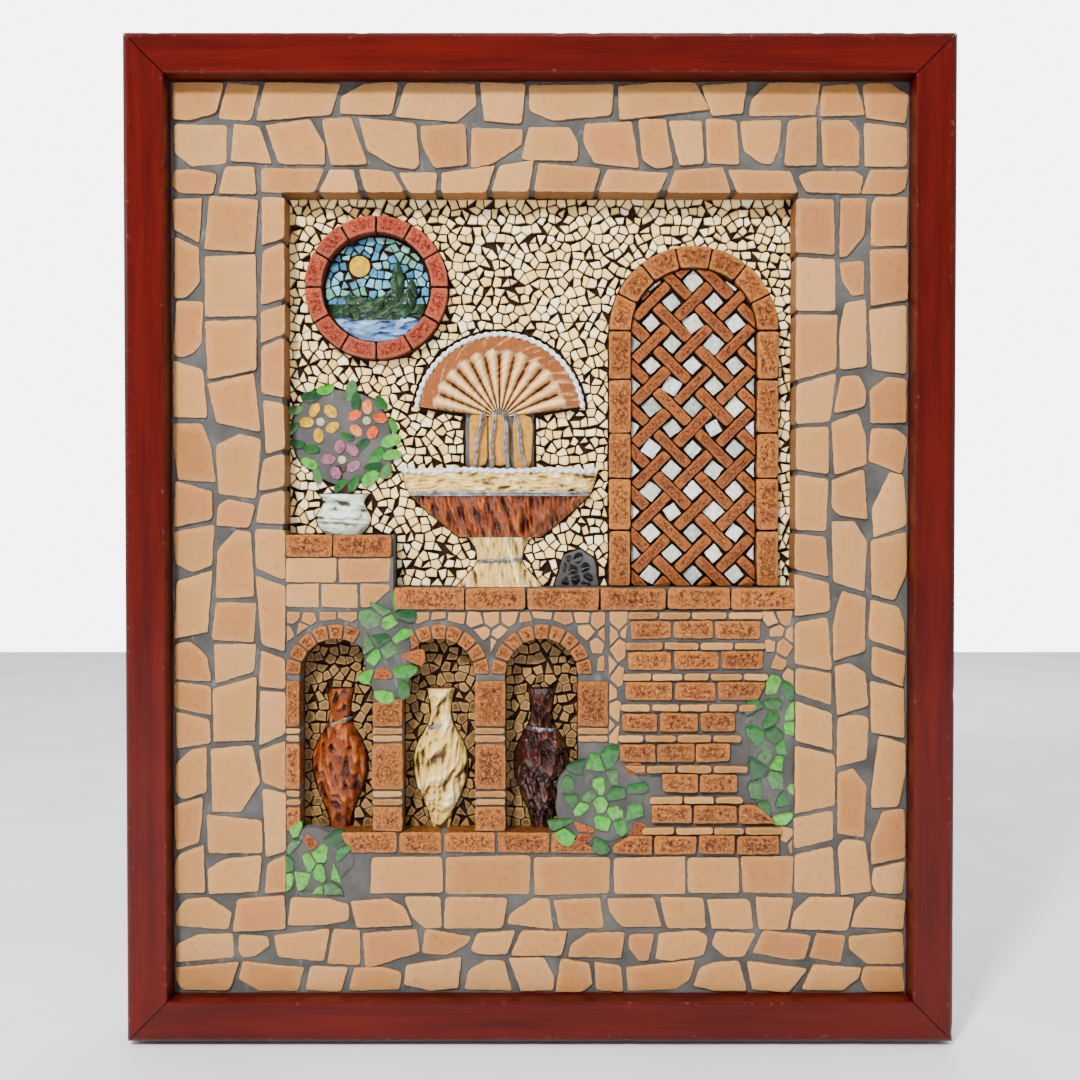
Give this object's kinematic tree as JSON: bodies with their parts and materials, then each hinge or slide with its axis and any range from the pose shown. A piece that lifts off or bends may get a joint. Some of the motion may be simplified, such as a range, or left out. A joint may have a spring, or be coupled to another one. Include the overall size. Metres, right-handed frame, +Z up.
{
  "type": "framed mosaic panel",
  "caption": "Wall-hung relief mosaic in a deep mahogany frame: cream crazy-paving surround and a sunk garden scene in mixed ceramic chips and folded relief.",
  "frame": {"origin": "middle of the flat back, on the backing board, in the plane that rests on the wall", "axes": "+Z up, +X to the right seen from the front, front faces -Y, wall is on the +Y side"},
  "size_m": [0.678, 0.058, 0.824],
  "materials": {
    "frame_wood": "dark mahogany stain under satin lacquer",
    "backing_board": "bare plywood",
    "grey_grout": "matt trowelled grout",
    "dark_mortar": "matt dark mortar",
    "mottled_terracotta": "mottled rust-orange body, worn pale edges",
    "rust_strips": "mottled rust strips",
    "red_brick": "red terracotta with worn pale edges",
    "green_glaze": "glossy dark green crumpled relief",
    "pearl_lacquer": "pearl lacquer over pleats",
    "copper_lacquer": "glossy copper-brown crumpled folds",
    "cream_lacquer": "satin cream-gold crumpled folds",
    "chocolate_lacquer": "glossy chocolate crumpled folds",
    "pale_foil": "pale green-white crumpled relief",
    "cream_tile": "matt cream-peach broken tile",
    "cream_chip": "matt cream nipped chips",
    "blue_chip": "matt sky-blue nipped chips",
    "leaf_chip": "satin green leaf chips",
    "fruit_chip": "satin coloured fruit and petal chips",
    "pearl_piece": "pearl and mirror-white pieces",
    "ochre_tile": "smooth satin ochre",
    "black_pebble": "glossy black rounded pieces",
    "white_cord": "white twisted trim",
    "silver_strip": "crumpled silver strip",
    "blue_paint": "glossy painted blue relief"
  },
  "bodies": {
    "root": {"frame_top_rail": "frame_wood", "frame_bottom_rail": "frame_wood", "frame_right_rail": "frame_wood", "frame_left_rail": "frame_wood", "backing_board": "backing_board", "surround_bed_top": "grey_grout", "surround_bed_bottom": "grey_grout", "surround_bed_left": "grey_grout", "surround_bed_right": "grey_grout", "recess_bed": "dark_mortar", "terrace_bed": "grey_grout", "coping_block_1": "mottled_terracotta", "coping_block_2": "mottled_terracotta", "coping_block_3": "mottled_terracotta", "coping_block_4": "mottled_terracotta", "coping_block_5": "mottled_terracotta", "coping_block_6": "mottled_terracotta", "planter_sill_block_1": "mottled_terracotta", "planter_sill_block_2": "mottled_terracotta", "gate_jamb_left_1": "mottled_terracotta", "gate_jamb_left_2": "mottled_terracotta", "gate_jamb_left_3": "mottled_terracotta", "gate_jamb_left_4": "mottled_terracotta", "gate_jamb_left_5": "mottled_terracotta", "gate_jamb_right_1": "mottled_terracotta", "gate_jamb_right_2": "mottled_terracotta", "gate_jamb_right_3": "mottled_terracotta", "gate_jamb_right_4": "mottled_terracotta", "gate_jamb_right_5": "mottled_terracotta", "gate_arch_block_1": "mottled_terracotta", "gate_arch_block_2": "mottled_terracotta", "gate_arch_block_3": "mottled_terracotta", "gate_arch_block_4": "mottled_terracotta", "gate_arch_block_5": "mottled_terracotta", "gate_arch_block_6": "mottled_terracotta", "gate_arch_block_7": "mottled_terracotta", "gate_trellis": "rust_strips", "round_window_brick_1": "red_brick", "round_window_brick_2": "red_brick", "round_window_brick_3": "red_brick", "round_window_brick_4": "red_brick", "round_window_brick_5": "red_brick", "round_window_brick_6": "red_brick", "round_window_brick_7": "red_brick", "round_window_brick_8": "red_brick", "round_window_brick_9": "red_brick", "round_window_brick_10": "red_brick", "round_window_brick_11": "red_brick", "round_window_brick_12": "red_brick", "round_window_hills": "green_glaze", "fountain_shell": "pearl_lacquer", "fountain_basin": "copper_lacquer", "fountain_pedestal": "cream_lacquer", "tree_pot": "pale_foil", "tree_trunk": "chocolate_lacquer", "arcade_jar_left": "copper_lacquer", "arcade_jar_middle": "cream_lacquer", "arcade_jar_right": "chocolate_lacquer"}
  },
  "joints": []
}
